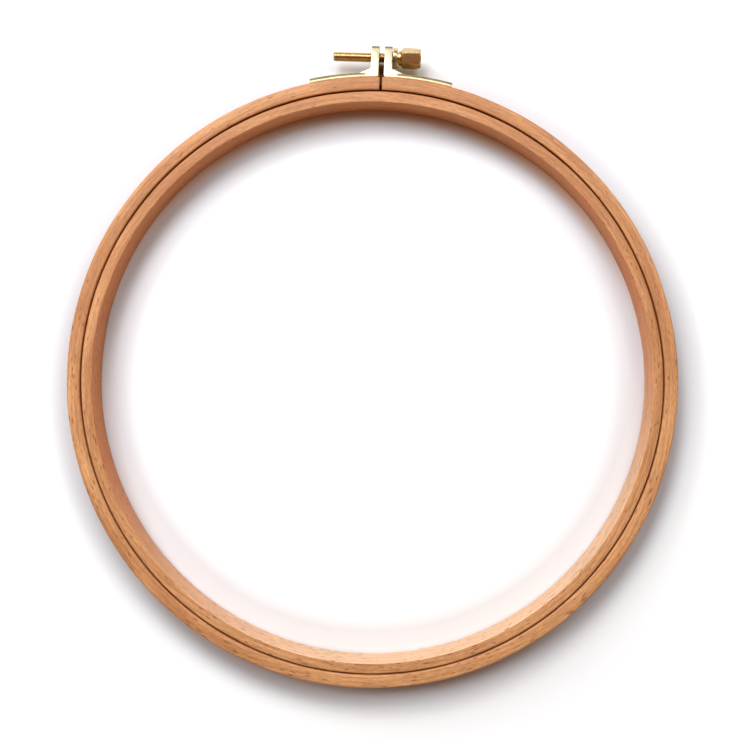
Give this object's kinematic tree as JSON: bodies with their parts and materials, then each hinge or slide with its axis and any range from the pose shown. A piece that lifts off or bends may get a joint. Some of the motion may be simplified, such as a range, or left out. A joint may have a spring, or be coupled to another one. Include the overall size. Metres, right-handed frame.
{
  "type": "embroidery hoop",
  "caption": "Round wooden embroidery hoop: a closed inner ring nested in a split outer ring that a brass screw clamp tightens round the cloth.",
  "frame": {"origin": "middle of the model's base, on the plane that the hoop lies on; the rings' common centre is 7.1 mm from it towards -Y", "axes": "+Z along the hoop's axis, up from the surface it lies on; +Y towards the clamp at the saw cut; +X along the screw towards its knob"},
  "size_m": [0.25, 0.2642, 0.016],
  "materials": {
    "beech": "sanded, bare",
    "plated_brass": "polished plating",
    "turned_brass": "turned",
    "nail_brass": "drawn wire with a pressed head"
  },
  "bodies": {
    "outer_hoop": {"outer_ring": "beech", "left_bracket": "plated_brass", "right_bracket": "plated_brass", "left_nail_1": "nail_brass", "left_nail_2": "nail_brass", "right_nail_1": "nail_brass", "right_nail_2": "nail_brass"},
    "inner_hoop": {"inner_ring": "beech"},
    "washer": {"clamp_washer": "turned_brass"},
    "screw": {"clamp_screw": "turned_brass"}
  },
  "joints": [
    {"name": "inner_ring_push", "type": "slide", "parent": "outer_hoop", "child": "inner_hoop", "axis": [0, 0, 1], "range_m": [0, 0.024]},
    {"name": "screw_travel", "type": "slide", "parent": "outer_hoop", "child": "washer", "axis": [1, 0, 0], "range_m": [0, 0.0154]},
    {"name": "screw_turn", "type": "hinge", "parent": "washer", "child": "screw", "pos_m": [0, 0.1275, 0.008], "axis": [1, 0, 0], "range_deg": [0, 7920]}
  ],
  "couplings": [
    {"joint": "screw_turn", "follows": "screw_travel", "rad_per_m": 8976}
  ]
}
